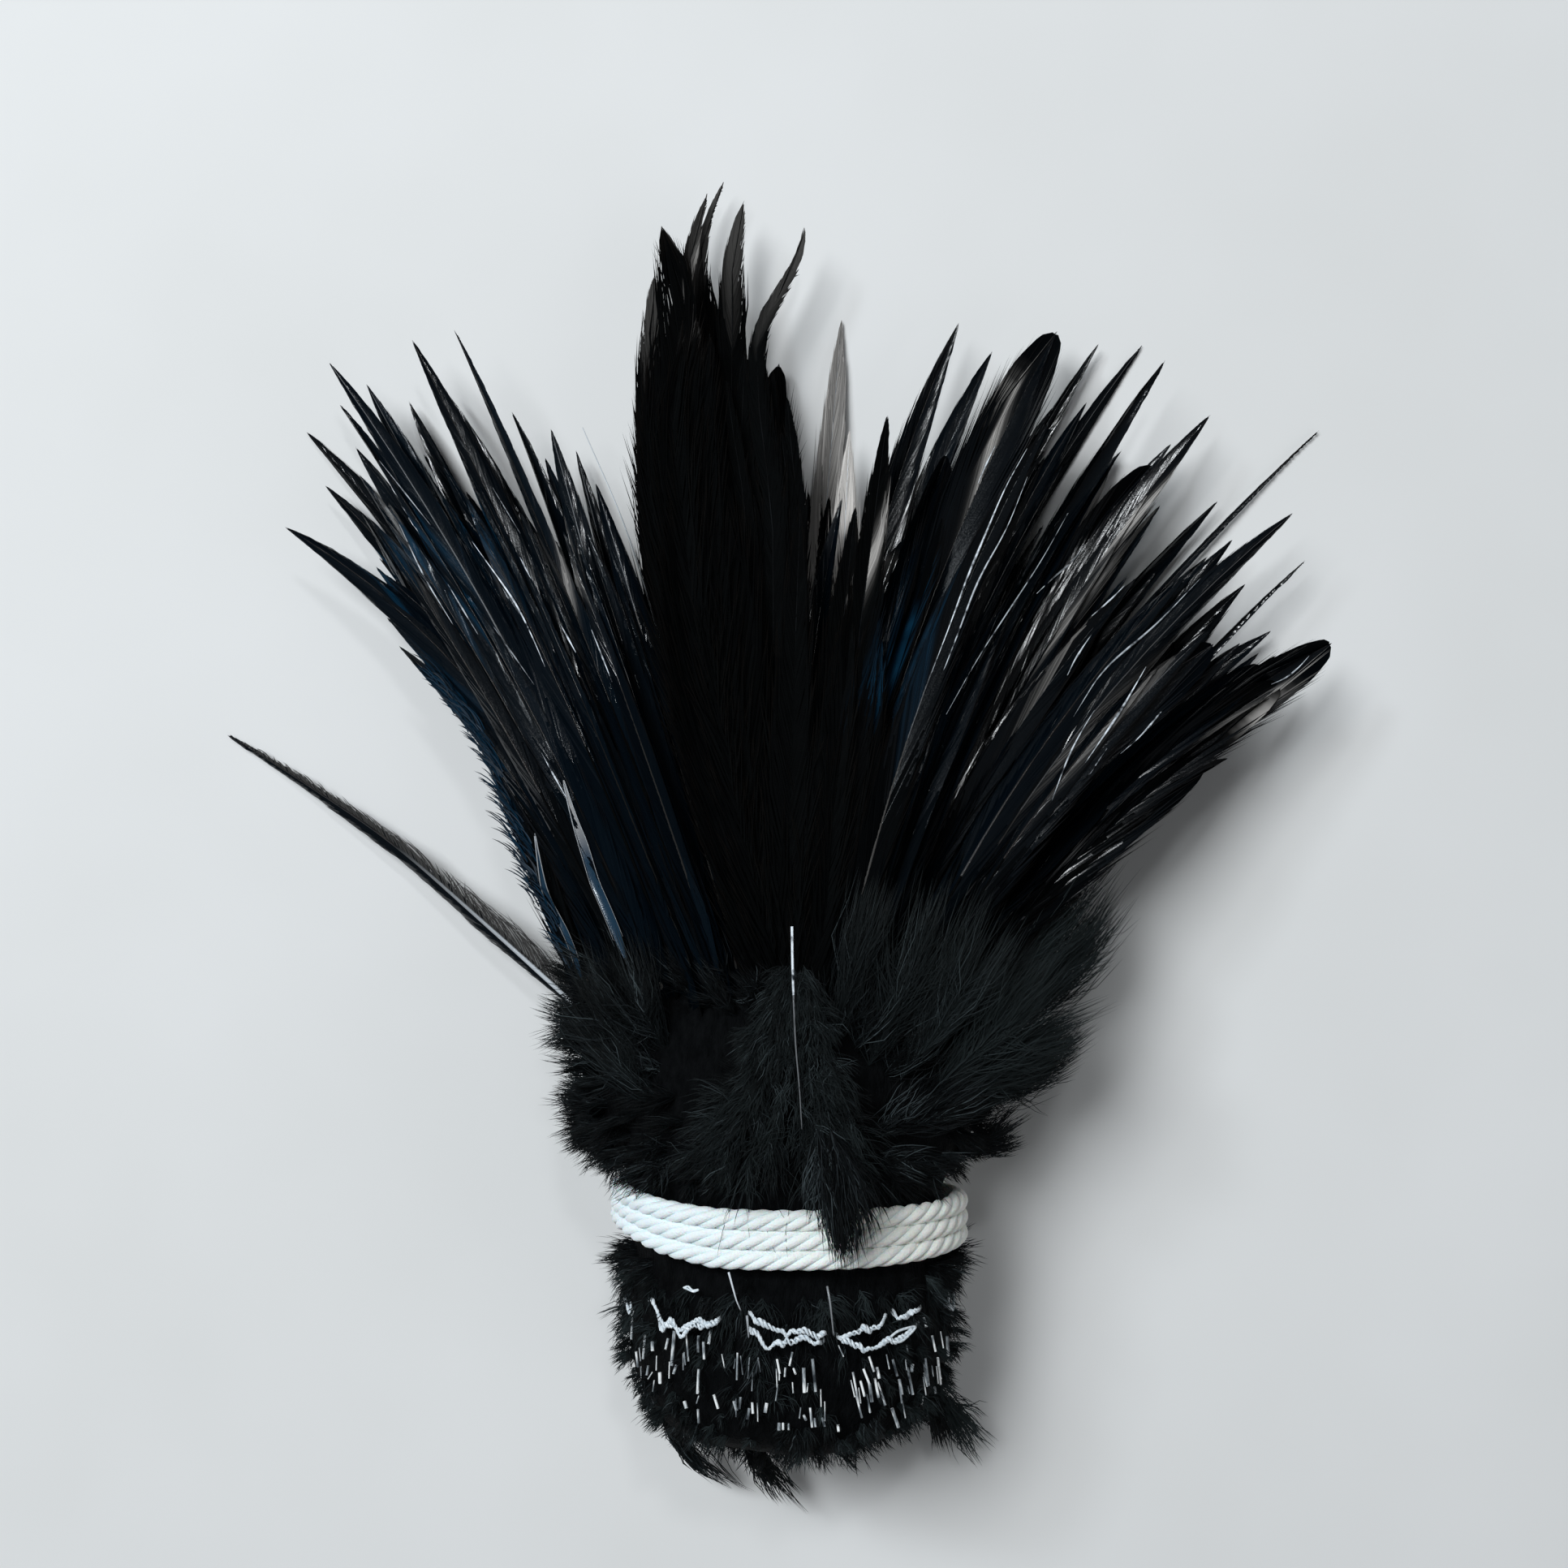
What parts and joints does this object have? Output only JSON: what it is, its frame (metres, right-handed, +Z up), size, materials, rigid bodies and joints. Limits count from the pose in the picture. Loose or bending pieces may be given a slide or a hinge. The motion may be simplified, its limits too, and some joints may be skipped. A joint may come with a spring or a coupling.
{
  "type": "strung rooster hackle",
  "caption": "Bunch of strung rooster hackle feathers dyed black, rolled up and tied with white cotton cord, a fan of glossy blades over a fluffy butt, lying down.",
  "frame": {"origin": "middle of the flat underside of the down ruff, on the surface that the bunch lies on, 20 mm ahead of the middle of the tie", "axes": "+Y from the tied roll towards the tips of the fan, +Z up from the surface that it lies on, +X to the fan's right seen from above"},
  "size_m": [0.156, 0.1867, 0.0414],
  "materials": {
    "vane": "glossy dyed black feather vane with a blue-green sheen",
    "down": "matte charcoal down",
    "cord": "matte white twisted cotton",
    "thread": "matte white sewing thread"
  },
  "bodies": {
    "root": {"hackle_left_01": "vane", "hackle_left_02": "vane", "hackle_left_03": "vane", "hackle_left_04": "vane", "hackle_left_05": "vane", "hackle_left_06": "vane", "hackle_left_07": "vane", "hackle_left_08": "vane", "hackle_left_09": "vane", "hackle_left_10": "vane", "hackle_left_11": "vane", "hackle_left_12": "vane", "hackle_left_13": "vane", "hackle_left_14": "vane", "hackle_left_15": "vane", "hackle_left_16": "vane", "hackle_left_17": "vane", "hackle_crown_01": "vane", "hackle_crown_02": "vane", "hackle_crown_03": "vane", "hackle_crown_04": "vane", "hackle_crown_05": "vane", "hackle_crown_06": "vane", "hackle_crown_07": "vane", "hackle_crown_08": "vane", "hackle_crown_09": "vane", "hackle_crown_10": "vane", "hackle_crown_11": "vane", "hackle_right_01": "vane", "hackle_right_02": "vane", "hackle_right_03": "vane", "hackle_right_04": "vane", "hackle_right_05": "vane", "hackle_right_06": "vane", "hackle_right_07": "vane", "hackle_right_08": "vane", "hackle_right_09": "vane", "hackle_right_10": "vane", "hackle_right_11": "vane", "hackle_right_12": "vane", "hackle_right_13": "vane", "hackle_right_14": "vane", "hackle_right_15": "vane", "hackle_right_16": "vane", "hackle_right_17": "vane", "hackle_right_18": "vane", "hackle_right_19": "vane", "hackle_right_20": "vane", "hackle_right_21": "vane", "hackle_right_22": "vane", "stray_hackle": "vane", "turned_feather": "down", "packed_quills_and_down": "down", "tie_cord": "cord", "stitch_thread": "thread"}
  },
  "joints": []
}
